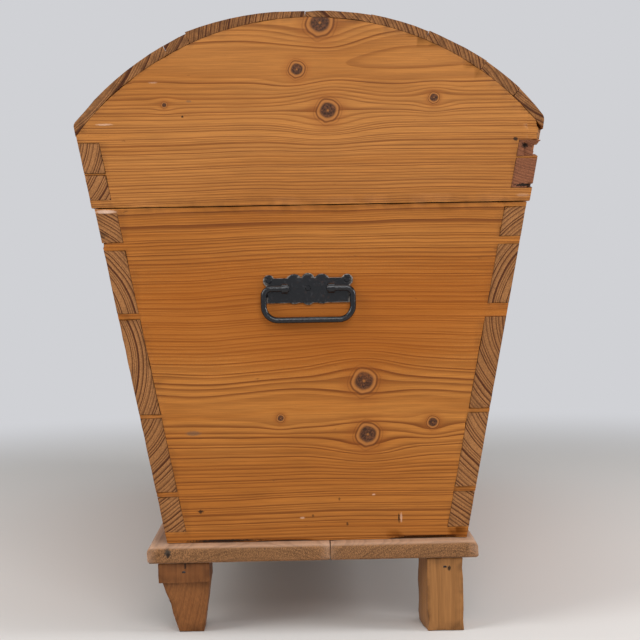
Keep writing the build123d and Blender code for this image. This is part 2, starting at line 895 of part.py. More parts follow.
with BuildPart() as escutcheon_nails:
    nail_reach = escutcheon_half_height - nail_head_radius * 2
    for up in (-nail_reach, nail_reach):
        middle = -key_drop - bit_reach / 2
        place = front_face.from_local_coords(Vector(0, middle + up, escutcheon_thickness))
        drive_nail(Plane(origin=place, z_dir=front_face.z_dir), short_nail_length)
keep(escutcheon_nails, "escutcheon_nails")

with BuildPart() as lock_nails:
    nail_margin = (lock_plate_width - case_width) / 4
    for along in (-lock_plate_width / 2 + nail_margin, lock_plate_width / 2 - nail_margin):
        for up in (-lock_drop - lock_plate_height + nail_margin, -lock_drop - nail_margin):
            place = lock_face.from_local_coords(Vector(along, up, -lock_plate_thickness))
            drive_nail(Plane(origin=place, z_dir=inward), short_nail_length)
keep(lock_nails, "lock_nails")

# Staple: a plate inside the lid's front rail with a loop that drops into the lock
staple_middle = staple_place + staple_thickness / 2
with BuildPart() as lock_staple:
    loop_along = (staple_place, staple_place + staple_thickness)
    loop_depth = (staple_depth, staple_depth + staple_width)
    lock_block(
        (staple_middle - staple_plate_width / 2, staple_middle + staple_plate_width / 2),
        (staple_plate_rise, staple_plate_rise + staple_plate_height),
        (-lid_step, -lid_step + staple_plate_thickness),
    )
    lock_block(
        loop_along,
        (staple_plate_rise, staple_plate_rise + staple_web_height),
        (-lid_step, staple_depth + staple_width),
    )
    lock_block(loop_along, (-staple_reach, staple_plate_rise + staple_web_height), loop_depth)
    lock_block(
        loop_along,
        (nose_low - staple_hole_play, nose_high + staple_hole_play),
        (bolt_depth - staple_hole_play / 2, bolt_depth + bolt_thickness + staple_hole_play / 2),
        Mode.SUBTRACT,
    )
keep(lock_staple, "lock_staple")

with BuildPart() as staple_nails:
    for along in (-staple_plate_width / 3, staple_plate_width / 3):
        for share in staple_nail_shares:
            up = staple_plate_rise + staple_plate_height * share
            place = lock_face.from_local_coords(
                Vector(staple_middle + along, up, lid_step - staple_plate_thickness)
            )
            drive_nail(Plane(origin=place, z_dir=inward), short_nail_length)
keep(staple_nails, "staple_nails")

print("box top depth", round(2 * box_top_half, 1))
print("dome crown", round(dome_crown, 1))
print("hinge axis at", round(hinge_depth, 2), round(hinge_height, 2))
print("bolt throw", round(bolt_throw, 2))
print("key axis at", key_axis)
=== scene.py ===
import json
import math

import bmesh
import bpy
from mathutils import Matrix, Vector, noise

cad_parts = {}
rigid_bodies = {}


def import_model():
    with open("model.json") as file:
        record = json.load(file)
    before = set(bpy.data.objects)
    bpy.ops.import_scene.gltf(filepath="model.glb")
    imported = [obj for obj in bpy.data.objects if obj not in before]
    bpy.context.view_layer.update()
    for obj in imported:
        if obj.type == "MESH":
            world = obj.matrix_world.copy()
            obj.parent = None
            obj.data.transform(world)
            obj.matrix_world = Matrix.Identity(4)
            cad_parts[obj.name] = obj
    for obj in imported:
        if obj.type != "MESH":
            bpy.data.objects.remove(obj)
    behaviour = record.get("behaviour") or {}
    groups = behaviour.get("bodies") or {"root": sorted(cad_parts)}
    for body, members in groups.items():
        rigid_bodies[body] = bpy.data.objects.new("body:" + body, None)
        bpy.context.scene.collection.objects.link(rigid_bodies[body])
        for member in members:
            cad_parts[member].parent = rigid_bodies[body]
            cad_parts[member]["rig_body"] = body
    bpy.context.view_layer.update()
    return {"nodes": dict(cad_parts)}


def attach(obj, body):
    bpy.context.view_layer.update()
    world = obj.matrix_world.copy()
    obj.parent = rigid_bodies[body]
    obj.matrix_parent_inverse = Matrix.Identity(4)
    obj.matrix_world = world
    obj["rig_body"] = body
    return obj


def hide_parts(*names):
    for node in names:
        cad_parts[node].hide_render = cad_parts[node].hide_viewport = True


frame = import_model()
cadNodes = frame["nodes"]
nodeBody = {node: cadNodes[node]["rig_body"] for node in cadNodes}
print("chest: frame loaded,", len(cadNodes), "nodes")

photoCamera = {
    "place": (2.072, -0.013, 0.377),
    "turn": (90.0, 1.049, 89.217),  # degrees: it looks level and leans a little to one side
    "lens": 82.75,
    "sensor": 36,
    "shift": -0.0780,  # frames the chest while the camera stays level
    "clipStart": 0.05,
}

studio = {
    "paper": (219, 217, 215),
    "paperShade": 0.98,  # the darker tone of its mottle
    "mottleScale": 2.2,
    "paperRoughness": 0.9,
    "paperGloss": 0.1,
    "backdrop": (208, 209, 213),  # what shows far away and above the floor
    "fade": (0.85, 1.9),  # the floor turns into the backdrop between these distances
    "reach": 12.0,
    "sides": 96,
    "worldStrength": 0.3,
}

# place, aim, size across, watts, colour
studioLamps = {
    "leftSoftbox": ((1.5, -1.9, 1.5), (0.3, 0.0, 0.3), 1.3, 26, (1.0, 0.985, 0.96)),
    "rightSoftbox": ((0.9, 2.1, 0.95), (0.2, 0.0, 0.15), 0.8, 24, (0.98, 0.99, 1.0)),
    "frontSoftbox": ((2.7, 0.4, 1.8), (0.5, 0.0, 0.35), 1.4, 28, (1.0, 1.0, 1.0)),
    "topSoftbox": ((0.4, 0.0, 2.4), (0.1, 0.0, 0.3), 1.8, 16, (1.0, 1.0, 1.0)),
}


def toLinear(rgb):
    # screen colour, 0 to 255, to the linear colour that the shaders take
    parts = []
    for part in rgb:
        share = part / 255
        parts.append(share / 12.92 if share <= 0.04045 else ((share + 0.055) / 1.055) ** 2.4)
    return (*parts, 1.0)


def makeCamera():
    data = bpy.data.cameras.new("photoCamera")
    data.lens = photoCamera["lens"]
    data.sensor_width = photoCamera["sensor"]
    data.shift_y = photoCamera["shift"]
    data.clip_start = photoCamera["clipStart"]
    camera = bpy.data.objects.new("photoCamera", data)
    camera.location = photoCamera["place"]
    camera.rotation_euler = [math.radians(angle) for angle in photoCamera["turn"]]
    bpy.context.scene.collection.objects.link(camera)
    bpy.context.scene.camera = camera


# short ways to add and link shader nodes
def addNode(tree, kind, **settings):
    node = tree.nodes.new(kind)
    for key, value in settings.items():
        setattr(node, key, value)
    return node


def feed(tree, socket, value):
    # links another node's socket, or sets a plain value
    if isinstance(value, bpy.types.NodeSocket):
        tree.links.new(value, socket)
    else:
        socket.default_value = value


def calc(tree, operation, *values, clamp=False):
    node = addNode(tree, "ShaderNodeMath", operation=operation, use_clamp=clamp)
    for socket, value in zip(node.inputs, values):
        feed(tree, socket, value)
    return node.outputs[0]


def addUp(tree, values):
    total = values[0]
    for value in values[1:]:
        total = calc(tree, "ADD", total, value)
    return total


def squared(tree, value):
    return calc(tree, "MULTIPLY", value, value)


def distanceOf(tree, first, second):
    return calc(tree, "SQRT", calc(tree, "ADD", squared(tree, first), squared(tree, second)))


def swing(tree, level, amount):
    # turns a noise of 0 to 1 into moves to both sides
    return calc(tree, "MULTIPLY", calc(tree, "SUBTRACT", level, 0.5), amount)


def ease(tree, value, low, high, toLow=0.0, toHigh=1.0):
    node = addNode(tree, "ShaderNodeMapRange", interpolation_type="SMOOTHSTEP")
    for socket, given in zip(node.inputs, (value, low, high, toLow, toHigh)):
        feed(tree, socket, given)
    return node.outputs[0]


def mixColour(tree, factor, first, second, mode="MIX"):
    node = addNode(tree, "ShaderNodeMix", data_type="RGBA", blend_type=mode)
    feed(tree, node.inputs["Factor"], factor)
    feed(tree, node.inputs[6], first)
    feed(tree, node.inputs[7], second)
    return node.outputs[2]


def join(tree, x, y, z):
    node = addNode(tree, "ShaderNodeCombineXYZ")
    for socket, value in zip(node.inputs, (x, y, z)):
        feed(tree, socket, value)
    return node.outputs[0]


def tint(tree, colour, level):
    return mixColour(tree, 1.0, colour, join(tree, level, level, level), "MULTIPLY")


def noiseAt(tree, vector, scale, detail, roughness=0.5):
    node = addNode(tree, "ShaderNodeTexNoise", noise_dimensions="3D")
    feed(tree, node.inputs["Vector"], vector)
    node.inputs["Scale"].default_value = scale
    node.inputs["Detail"].default_value = detail
    node.inputs["Roughness"].default_value = roughness
    return node.outputs[0]


def noiseAlongLine(tree, value, scale, detail):
    node = addNode(tree, "ShaderNodeTexNoise", noise_dimensions="1D")
    feed(tree, node.inputs["W"], value)
    node.inputs["Scale"].default_value = scale
    node.inputs["Detail"].default_value = detail
    return node.outputs[0]


def addBump(tree, shader, height, strength, distance):
    bump = addNode(tree, "ShaderNodeBump")
    bump.inputs["Strength"].default_value = strength
    bump.inputs["Distance"].default_value = distance
    feed(tree, bump.inputs["Height"], height)
    feed(tree, shader.inputs["Normal"], bump.outputs[0])


def startMaterial(name):
    material = bpy.data.materials.new(name)
    material.use_nodes = True
    return material, material.node_tree, material.node_tree.nodes["Principled BSDF"]


def seenByCamera(tree):
    # 1 for camera rays and what metal or gloss mirrors, 0 for the light that falls on the chest
    path = addNode(tree, "ShaderNodeLightPath").outputs
    mirrored = calc(tree, "MAXIMUM", path["Is Glossy Ray"], path["Is Transmission Ray"])
    return calc(tree, "MAXIMUM", path["Is Camera Ray"], mirrored)


def paperMaterial():
    material, tree, shader = startMaterial("paper")
    shader.inputs["Roughness"].default_value = studio["paperRoughness"]
    shader.inputs["Specular IOR Level"].default_value = studio["paperGloss"]
    place = addNode(tree, "ShaderNodeTexCoord").outputs["Object"]
    mottle = noiseAt(tree, place, studio["mottleScale"], 3)
    paper = Vector(toLinear(studio["paper"])[:3])
    tone = mixColour(tree, mottle, (*(paper * studio["paperShade"]), 1), (*paper, 1))
    feed(tree, shader.inputs["Base Color"], tone)

    # far from the chest the paper glows in the backdrop's colour
    away = addNode(tree, "ShaderNodeVectorMath", operation="LENGTH")
    feed(tree, away.inputs[0], place)
    near, far = studio["fade"]
    glow = addNode(tree, "ShaderNodeEmission")
    glow.inputs["Color"].default_value = toLinear(studio["backdrop"])
    farShare = ease(tree, away.outputs["Value"], near, far)
    blend = addNode(tree, "ShaderNodeMixShader")
    feed(tree, blend.inputs[0], calc(tree, "MULTIPLY", farShare, seenByCamera(tree)))
    feed(tree, blend.inputs[1], shader.outputs[0])
    feed(tree, blend.inputs[2], glow.outputs[0])
    feed(tree, tree.nodes["Material Output"].inputs["Surface"], blend.outputs[0])
    return material


def makeStudio():
    work = bmesh.new()
    bmesh.ops.create_circle(work, cap_ends=True, segments=studio["sides"], radius=studio["reach"])
    mesh = bpy.data.meshes.new("studioFloor")
    work.to_mesh(mesh)
    work.free()
    mesh.materials.append(paperMaterial())
    floor = bpy.data.objects.new("studioFloor", mesh)
    bpy.context.scene.collection.objects.link(floor)

    for name, (place, aim, size, watts, colour) in studioLamps.items():
        light = bpy.data.lights.new(name, "AREA")
        light.size = size
        light.energy = watts
        light.color = colour
        lamp = bpy.data.objects.new(name, light)
        lamp.location = place
        lamp.rotation_euler = (Vector(aim) - Vector(place)).to_track_quat("-Z", "Y").to_euler()
        bpy.context.scene.collection.objects.link(lamp)

    world = bpy.data.worlds.new("studioAir")
    world.use_nodes = True
    tree = world.node_tree
    level = studio["worldStrength"]
    air = mixColour(tree, seenByCamera(tree), (level, level, level, 1), toLinear(studio["backdrop"]))
    feed(tree, tree.nodes["Background"].inputs["Color"], air)
    bpy.context.scene.world = world
    print("chest: floor and lamps made")


# The grain of all the pine. Scales are in waves per metre, a pair of them along and across the
# grain, a step is the two ends of a soft step, and shares run from 0 to 1
pineGrain = {
    "wanderScale": 3.5,  # slow wander of the trunk's axis
    "rippleScale": (9.0, 40.0),
    "ripple": 0.0032,  # metres that the rings waver by
    "driftScale": 0.45,  # waves per year
    "drift": 1.8,  # years, so that some run wide and some narrow
    "darkenStep": (0.3, 0.88),  # parts of a year
    "clearStep": (1.0, 0.93),
    "lateLeast": 0.4,
    "lateChance": 0.7,  # what chance adds to the dark of one year
    "flatStep": (0.05, 0.5),  # 0 where the board is cut along a ring
    "flatLate": 0.4,  # share of the dark wood that is left there
    "fibreScale": (22.0, 900.0),
    "fibreDetail": (3, 0.62),  # detail and roughness of the noise
    "fibreStep": (0.28, 0.75),
    "fibreTone": (0.84, 1.16),  # darkest and lightest
    "streakScale": (4.0, 110.0),
    "streakStep": (0.48, 0.8),
    "streakShare": 0.4,
    "patchScale": (3.0, 10.0),
    "patchStep": (0.35, 0.7),
    "patchShare": 0.55,
    "endPatchStep": (0.4, 0.7),
    "endPatchShare": 0.45,
    "endStep": (0.55, 0.8),  # how far a surface faces along the grain
    "speckDetail": (2, 0.6),
    "speckStep": (0.36, 0.64),
    "rubScale": 90.0,
    "rubStep": (0.35, 0.7),
    "rubLeast": 0.2,  # share of the rub that every edge has
    "dentScale": (60.0, 160.0),
    "dentDetail": (3, 0.65),
    "dentStep": (0.69, 0.8),
    "dentShare": 0.4,
    "gloss": 0.18,
    "roughness": 0.4,
    "fibreRoughness": 0.25,
    "endRoughness": 0.15,
    "lateBump": 0.35,
    "fibreBump": 0.35,
    "dentBump": -0.8,
    "bumpStrength": 0.5,
    "bumpDistance": 0.0007,
}

# distances are in knot radii from the middle of the knot
knotShape = {
    "wobbleScale": 0.9,
    "wobbleStep": (0.2, 0.8),
    "wobble": (0.92, 1.1),  # a knot isn't quite round
    "bend": 0.92,  # share by which the grain is pushed aside
    "reachAlong": 0.3,  # how fast the push fades
    "reachAcross": 0.5,
    "haloStep": (2.2, 0.95),
    "haloShare": 0.4,
    "collarStep": (1.02, 0.9),
    "collarShare": 0.8,
    "rims": ((0.98, 0.12, 0.8), (1.24, 0.08, 0.28)),  # place, width, share
    "rimMiddle": 0.01,
    "coreStep": (0.92, 0.66),
    "coreRagged": 0.2,
    "mottleScale": 520.0,
    "mottleDetail": (3, 0.7),
    "mottleStep": (0.32, 0.62),
    "pithStep": (0.16, 0.02),
    "pithShare": 0.7,
}

# marks are drawn at the right end of the chest alone, and their outline is broken up
markShape = {"farStep": (0.5, 0.53), "edgeStep": (1.1, 0.5), "ragged": 1.2}


def makeKnotGroup():
    # bends the grain round one knot and gives the distance from it in knot radii
    tree = bpy.data.node_groups.new("pineKnot", "ShaderNodeTree")
    for name in ("Along", "Across", "Knot Along", "Knot Across", "Size", "Bend"):
        tree.interface.new_socket(name, in_out="INPUT", socket_type="NodeSocketFloat")
    for name in ("Shift", "Distance"):
        tree.interface.new_socket(name, in_out="OUTPUT", socket_type="NodeSocketFloat")
    given = addNode(tree, "NodeGroupInput").outputs
    result = addNode(tree, "NodeGroupOutput").inputs
    run = calc(tree, "DIVIDE", calc(tree, "SUBTRACT", given["Along"], given["Knot Along"]), given["Size"])
    offset = calc(tree, "SUBTRACT", given["Across"], given["Knot Across"])
    rise = calc(tree, "DIVIDE", offset, given["Size"])
    wobble = noiseAt(tree, join(tree, run, rise, given["Knot Along"]), knotShape["wobbleScale"], 1)
    stretch = ease(tree, wobble, *knotShape["wobbleStep"], *knotShape["wobble"])
    feed(tree, result["Distance"], calc(tree, "MULTIPLY", distanceOf(tree, run, rise), stretch))
    longRun = calc(tree, "MULTIPLY", run, knotShape["reachAlong"])
    wide = calc(tree, "MULTIPLY", rise, knotShape["reachAcross"])
    reach = calc(tree, "ADD", squared(tree, longRun), squared(tree, wide))
    fall = calc(tree, "EXPONENT", calc(tree, "MULTIPLY", reach, -1.0))
    pull = calc(tree, "MULTIPLY", given["Bend"], -1.0)
    feed(tree, result["Shift"], calc(tree, "MULTIPLY", calc(tree, "MULTIPLY", offset, fall), pull))


def scaled(tree, axes, scales):
    # a place on the board, drawn out along the grain
    along, across, deep = axes
    alongScale, crossScale = scales
    return join(
        tree,
        calc(tree, "MULTIPLY", along, alongScale),
        calc(tree, "MULTIPLY", across, crossScale),
        calc(tree, "MULTIPLY", deep, crossScale),
    )


def bendRoundKnots(tree, wood, along, across):
    shifts, distances = [], []
    for (knotAlong, knotAcross), size in wood["knots"]:
        group = addNode(tree, "ShaderNodeGroup", node_tree=bpy.data.node_groups["pineKnot"])
        settings = {
            "Along": along, "Across": across, "Knot Along": knotAlong, "Knot Across": knotAcross,
            "Size": size, "Bend": knotShape["bend"],
        }
        for name, value in settings.items():
            feed(tree, group.inputs[name], value)
        shifts.append(group.outputs["Shift"])
        distances.append(group.outputs["Distance"])
    return shifts, distances


def growthRings(tree, wood, axes, shifts):
    # gives the bent grain, the dark late wood, and the same as a face shows it
    along, across, deep = axes
    heartAcross, heartDeep = wood["heart"]
    slow = join(tree, along, calc(tree, "ADD", across, wood["seed"]), deep)
    wander = swing(tree, noiseAt(tree, slow, pineGrain["wanderScale"], 1.5), wood["wander"])
    waves = noiseAt(tree, scaled(tree, axes, pineGrain["rippleScale"]), 1.0, 2)
    bent = addUp(tree, [across, wander, swing(tree, waves, pineGrain["ripple"])] + shifts)

    # the distance from the heart, in years, with uneven years
    offAcross = calc(tree, "SUBTRACT", bent, heartAcross)
    offDeep = calc(tree, "SUBTRACT", calc(tree, "ADD", deep, wander), heartDeep)
    fromHeart = distanceOf(tree, offAcross, offDeep)
    years = calc(tree, "DIVIDE", fromHeart, wood["ringWidth"])
    drift = noiseAlongLine(tree, years, pineGrain["driftScale"], 1)
    years = calc(tree, "ADD", years, calc(tree, "MULTIPLY", drift, pineGrain["drift"]))
    season = calc(tree, "FRACT", years)
    darkens = ease(tree, season, *pineGrain["darkenStep"])
    autumn = calc(tree, "MULTIPLY", darkens, ease(tree, season, *pineGrain["clearStep"]))
    chance = addNode(tree, "ShaderNodeTexWhiteNoise", noise_dimensions="1D")
    feed(tree, chance.inputs["W"], calc(tree, "FLOOR", years))
    strength = calc(
        tree, "MULTIPLY_ADD", chance.outputs["Value"], pineGrain["lateChance"], pineGrain["lateLeast"],
    )
    late = calc(tree, "MULTIPLY", autumn, strength, clamp=True)

    # where the board is cut along a ring, the dark wood is thin and pale
    slope = calc(tree, "DIVIDE", calc(tree, "ABSOLUTE", offAcross), fromHeart)
    pale = ease(tree, slope, *pineGrain["flatStep"], pineGrain["flatLate"], 1.0)
    return bent, late, calc(tree, "MULTIPLY", late, pale)


def paintKnots(tree, face, distances, tones, place):
    nearest = distances[0]
    for distance in distances[1:]:
        nearest = calc(tree, "MINIMUM", nearest, distance)
    halo = calc(tree, "MULTIPLY", ease(tree, nearest, *knotShape["haloStep"]), knotShape["haloShare"])
    face = mixColour(tree, halo, face, tones["halo"])
    collar = calc(tree, "MULTIPLY", ease(tree, nearest, *knotShape["collarStep"]), knotShape["collarShare"])
    face = mixColour(tree, collar, face, tones["knotRing"])
    for rimPlace, rimWidth, rimShare in knotShape["rims"]:
        off = calc(tree, "ABSOLUTE", calc(tree, "SUBTRACT", nearest, rimPlace))
        rim = ease(tree, off, rimWidth, knotShape["rimMiddle"], 0.0, rimShare)
        face = mixColour(tree, rim, face, tones["knotRim"])
    mottle = noiseAt(tree, place, knotShape["mottleScale"], *knotShape["mottleDetail"])
    core = mixColour(tree, ease(tree, mottle, *knotShape["mottleStep"]), tones["knot"], tones["knotDark"])
    pith = ease(tree, nearest, *knotShape["pithStep"], 0.0, knotShape["pithShare"])
    core = mixColour(tree, pith, core, tones["knotRing"])
    coreEdge = calc(tree, "MULTIPLY_ADD", mottle, knotShape["coreRagged"], nearest)
    return mixColour(tree, ease(tree, coreEdge, *knotShape["coreStep"]), face, core)


def paintMarks(tree, tone, marks, tones, split, specks):
    # stains, pits, pale chips, painted shade and painted highlights on the end that the camera sees
    farEnd = ease(tree, split["X"], *markShape["farStep"])
    for markY, markZ, halfY, halfZ, part, strength in marks:
        across = calc(tree, "DIVIDE", calc(tree, "SUBTRACT", split["Y"], markY), halfY)
        up = calc(tree, "DIVIDE", calc(tree, "SUBTRACT", split["Z"], markZ), halfZ)
        reach = calc(tree, "ADD", distanceOf(tree, across, up), swing(tree, specks, markShape["ragged"]))
        cover = calc(tree, "MULTIPLY", ease(tree, reach, *markShape["edgeStep"], 0.0, strength), farEnd)
        tone = mixColour(tree, cover, tone, tones[part])
    return tone


def pineMaterial(name, wood):
    material, tree, shader = startMaterial(name)
    shader.inputs["Specular IOR Level"].default_value = pineGrain["gloss"]
    coordinates = addNode(tree, "ShaderNodeTexCoord")
    place = coordinates.outputs["Object"]
    separate = addNode(tree, "ShaderNodeSeparateXYZ")
    feed(tree, separate.inputs[0], place)
    split = separate.outputs
    sides = {"X": ("X", "Z", "Y"), "Y": ("Y", "Z", "X"), "Z": ("Z", "Y", "X")}[wood["grain"]]
    axes = [split[side] for side in sides]
    along, across, deep = axes
    tones = {part: toLinear(tone) for part, tone in wood["tones"].items()}
    shifts, distances = bendRoundKnots(tree, wood, along, across)
    bent, late, lateFace = growthRings(tree, wood, axes, shifts)

    # the face: patches, resin streaks, late wood, fibres and knots
    fibre = noiseAt(tree, scaled(tree, axes, pineGrain["fibreScale"]), 1.0, *pineGrain["fibreDetail"])
    streaks = noiseAt(tree, scaled(tree, (along, bent, deep), pineGrain["streakScale"]), 1.0, 2)
    streak = calc(tree, "MULTIPLY", ease(tree, streaks, *pineGrain["streakStep"]), pineGrain["streakShare"])
    patch = noiseAt(tree, scaled(tree, axes, pineGrain["patchScale"]), 1.0, 2)
    patchShare = ease(tree, patch, *pineGrain["patchStep"], 0.0, pineGrain["patchShare"])
    face = mixColour(tree, patchShare, tones["early"], tones["patch"])
    face = mixColour(tree, streak, face, tones["patch"])
    face = mixColour(tree, calc(tree, "MULTIPLY", lateFace, wood["contrast"]), face, tones["late"])
    face = tint(tree, face, ease(tree, fibre, *pineGrain["fibreStep"], *pineGrain["fibreTone"]))
    if distances:
        face = paintKnots(tree, face, distances, tones, place)

    # end grain, where the surface faces along the grain
    facing = addNode(tree, "ShaderNodeSeparateXYZ")
    feed(tree, facing.inputs[0], coordinates.outputs["Normal"])
    endOn = ease(tree, calc(tree, "ABSOLUTE", facing.outputs[wood["grain"]]), *pineGrain["endStep"])
    specks = noiseAt(tree, place, wood["speckScale"], *pineGrain["speckDetail"])
    endPatch = ease(tree, patch, *pineGrain["endPatchStep"], 0.0, pineGrain["endPatchShare"])
    end = mixColour(tree, endPatch, tones["endEarly"], tones["endPatch"])
    endLate = calc(tree, "MULTIPLY", late, wood["endContrast"], clamp=True)
    end = mixColour(tree, endLate, end, tones["endLate"])
    speckTone = (1 - wood["speckDepth"], 1 + wood["speckDepth"])
    end = tint(tree, end, ease(tree, specks, *pineGrain["speckStep"], *speckTone))
    tone = mixColour(tree, endOn, face, end)
    if wood["marks"]:
        tone = paintMarks(tree, tone, wood["marks"], tones, split, specks)

    # rubbed or grimy edges, and small dents
    worn = addNode(tree, "ShaderNodeAttribute", attribute_name="worn").outputs["Fac"]
    breakUp = noiseAt(tree, place, pineGrain["rubScale"], 3)
    rubShares = (wood["edgeShare"] * pineGrain["rubLeast"], wood["edgeShare"])
    rub = calc(tree, "MULTIPLY", worn, ease(tree, breakUp, *pineGrain["rubStep"], *rubShares))
    tone = mixColour(tree, rub, tone, tones[wood["edgeTone"]])
    dents = noiseAt(tree, scaled(tree, axes, pineGrain["dentScale"]), 1.0, *pineGrain["dentDetail"])
    dent = ease(tree, dents, *pineGrain["dentStep"])
    tone = mixColour(tree, calc(tree, "MULTIPLY", dent, pineGrain["dentShare"]), tone, tones["grime"])
    feed(tree, shader.inputs["Base Color"], tone)

    rough = calc(tree, "MULTIPLY_ADD", fibre, pineGrain["fibreRoughness"], pineGrain["roughness"])
    endRough = calc(tree, "MULTIPLY", endOn, pineGrain["endRoughness"])
    feed(tree, shader.inputs["Roughness"], calc(tree, "ADD", rough, endRough))
    height = addUp(tree, [
        calc(tree, "MULTIPLY", late, pineGrain["lateBump"]),
        calc(tree, "MULTIPLY", fibre, pineGrain["fibreBump"]),
        calc(tree, "MULTIPLY", calc(tree, "MULTIPLY", specks, endOn), wood["speckBump"]),
        calc(tree, "MULTIPLY", dent, pineGrain["dentBump"]),
    ])
    addBump(tree, shader, height, pineGrain["bumpStrength"], pineGrain["bumpDistance"])
    return material


# how a copy of a solid is rounded, cut up and worn; angles in degrees, noise in waves per metre
wearShape = {
    "mergeDistance": 1e-6,
    "cutDistance": 1e-5,
    "flatAngle": 1.5,
    "sharpAngle": 32,
    "smoothAngle": 38,
    "bevelSegments": 2,
    "bevelProfile": 0.6,
    "scarCuts": (-1, -0.75, -0.5, -0.25, 0, 0.25, 0.5, 0.75, 1),  # of half the scar's size
    "hollowNoise": 14,
    "chipNoise": 85,
    "chipStart": 0.12,
    "scarNoise": 160,
    "scarSlope": 3.0,
    "seedStep": (3.1, 1.7, 0),  # moves the noise on from board to board
}


def evenPlaces(work, spacings):
    # where to cut along X, Y and Z at about these spacings, with 0 for no cuts
    places = []
    for k, spacing in enumerate(spacings):
        low = min(vert.co[k] for vert in work.verts)
        high = max(vert.co[k] for vert in work.verts)
        count = int((high - low) / spacing) if spacing else 0
        places.append([low + (high - low) * number / (count + 1) for number in range(1, count + 1)])
    return places


def sliceMesh(work, places):
    for k, axisPlaces in enumerate(places):
        for place in axisPlaces:
            point, direction = Vector((0, 0, 0)), Vector((0, 0, 0))
            point[k], direction[k] = place, 1
            bmesh.ops.bisect_plane(
                work, geom=work.verts[:] + work.edges[:] + work.faces[:],
                dist=wearShape["cutDistance"], plane_co=point, plane_no=direction,
            )


def roundEdges(work, offset):
    # rounds the sharp edges and marks the new faces
    edgeFaces = work.faces.layers.int.new("edgeFaces")
    least = math.radians(wearShape["sharpAngle"])
    sharp = [edge for edge in work.edges if len(edge.link_faces) == 2 and edge.calc_face_angle(0) > least]
    if offset > 0 and sharp:
        made = bmesh.ops.bevel(
            work, geom=sharp, offset=offset, offset_type="OFFSET", segments=wearShape["bevelSegments"],
            profile=wearShape["bevelProfile"], affect="EDGES", clamp_overlap=True,
        )
        for face in made["faces"]:
            face[edgeFaces] = 1
    return edgeFaces


def wearMove(vert, onEdge, wear, shift):
    # hollows and chips go inwards, and a scar goes the way of its push
    hollow = 0.5 + 0.5 * noise.noise(vert.co * wearShape["hollowNoise"] + shift)
    roughness = noise.noise(vert.co * wearShape["chipNoise"] + shift)
    chip = max(0.0, roughness - wearShape["chipStart"]) * onEdge
    move = vert.normal * -(hollow * wear["hollow"] + chip * wear["chips"])
    for centre, half, push in wear["scars"]:
        off = max(abs(vert.co[k] - centre[k]) / half[k] for k in range(3))
        if off < 1:
            rough = 0.75 + 0.5 * noise.noise(vert.co * wearShape["scarNoise"] + shift)
            move += Vector(push) * min(1.0, (1 - off) * wearShape["scarSlope"]) * rough
    return move


def wornCopy(node, wear, shaping=None):
    work = bmesh.new()
    work.from_mesh(cadNodes[node].data)
    bmesh.ops.remove_doubles(work, verts=work.verts, dist=wearShape["mergeDistance"])
    flat = math.radians(wearShape["flatAngle"])
    bmesh.ops.dissolve_limit(work, angle_limit=flat, verts=work.verts, edges=work.edges)
    if shaping:
        shaping(work)
    edgeFaces = roundEdges(work, wear["edge"])
    sliceMesh(work, evenPlaces(work, wear["cuts"]))
    for centre, half, push in wear["scars"]:
        cuts = wearShape["scarCuts"]
        sliceMesh(work, [[centre[k] + half[k] * share for share in cuts] for k in range(3)])
    work.normal_update()

    # the materials read this layer to rub the edges
    layer = work.verts.layers.float.new("worn")
    for vert in work.verts:
        vert[layer] = float(any(face[edgeFaces] for face in vert.link_faces))
    shift = Vector([step * wear["seed"] for step in wearShape["seedStep"]])
    moves = [wearMove(vert, vert[layer], wear, shift) for vert in work.verts]
    for vert, move in zip(work.verts, moves):
        vert.co += move
    for face in work.faces:
        face.smooth = True
    mesh = bpy.data.meshes.new(node)
    work.to_mesh(mesh)
    work.free()
    mesh.set_sharp_from_angle(angle=math.radians(wearShape["smoothAngle"]))
    return mesh


def placePiece(mesh, node, material):
    # the piece stands for the node and rides on the node's body
    mesh.materials.clear()
    mesh.materials.append(material)
    words = node.split("_")
    piece = bpy.data.objects.new(words[0] + "".join(word.capitalize() for word in words[1:]), mesh)
    bpy.context.scene.collection.objects.link(piece)
    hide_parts(node)
    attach(piece, nodeBody[node])


# screen colours of the wood, 0 to 255
honeyPine = {
    "early": (180, 115, 50), "late": (100, 46, 6), "patch": (152, 83, 16),
    "halo": (142, 76, 24), "knot": (108, 66, 40), "knotDark": (54, 33, 22),
    "knotRing": (172, 110, 54), "knotRim": (92, 46, 14),
    "endEarly": (156, 106, 62), "endPatch": (130, 84, 44), "endLate": (74, 35, 12),
    "grime": (60, 34, 16), "pale": (220, 184, 160), "stain": (92, 78, 66),
    # shade is a painted shade, for where the base shades the foot below it
    "crack": (30, 18, 10), "rust": (60, 52, 44), "amber": (160, 84, 8), "shade": (92, 52, 26),
}
lidPine = dict(honeyPine, early=(180, 118, 57), late=(106, 52, 12), patch=(156, 92, 30), halo=(150, 84, 32))
basePine = dict(
    honeyPine, early=(160, 122, 92), late=(112, 80, 54), patch=(136, 102, 74),
    endEarly=(134, 94, 60), endPatch=(104, 74, 44), endLate=(86, 58, 34), grime=(70, 48, 30),
)
redPine = dict(
    honeyPine, early=(146, 94, 52), late=(106, 62, 32), patch=(126, 76, 40),
    endEarly=(130, 84, 50), endPatch=(110, 68, 38),
)
paleFootPine = dict(honeyPine, early=(164, 114, 66), late=(122, 80, 42), patch=(146, 98, 54))
brickPine = dict(honeyPine, endEarly=(138, 86, 58), endPatch=(118, 72, 48), endLate=(84, 46, 30))

# what a board has unless it says otherwise below
plainBoard = {
    "wander": 0.012,
    "contrast": 0.85,
    "endContrast": 1.25,
    "speckScale": 900.0,
    "speckDepth": 0.18,
    "speckBump": 0.6,
    "edgeTone": "grime",
    "edgeShare": 0.3,
    "knots": (),
    "marks": (),
    "scars": (),
}

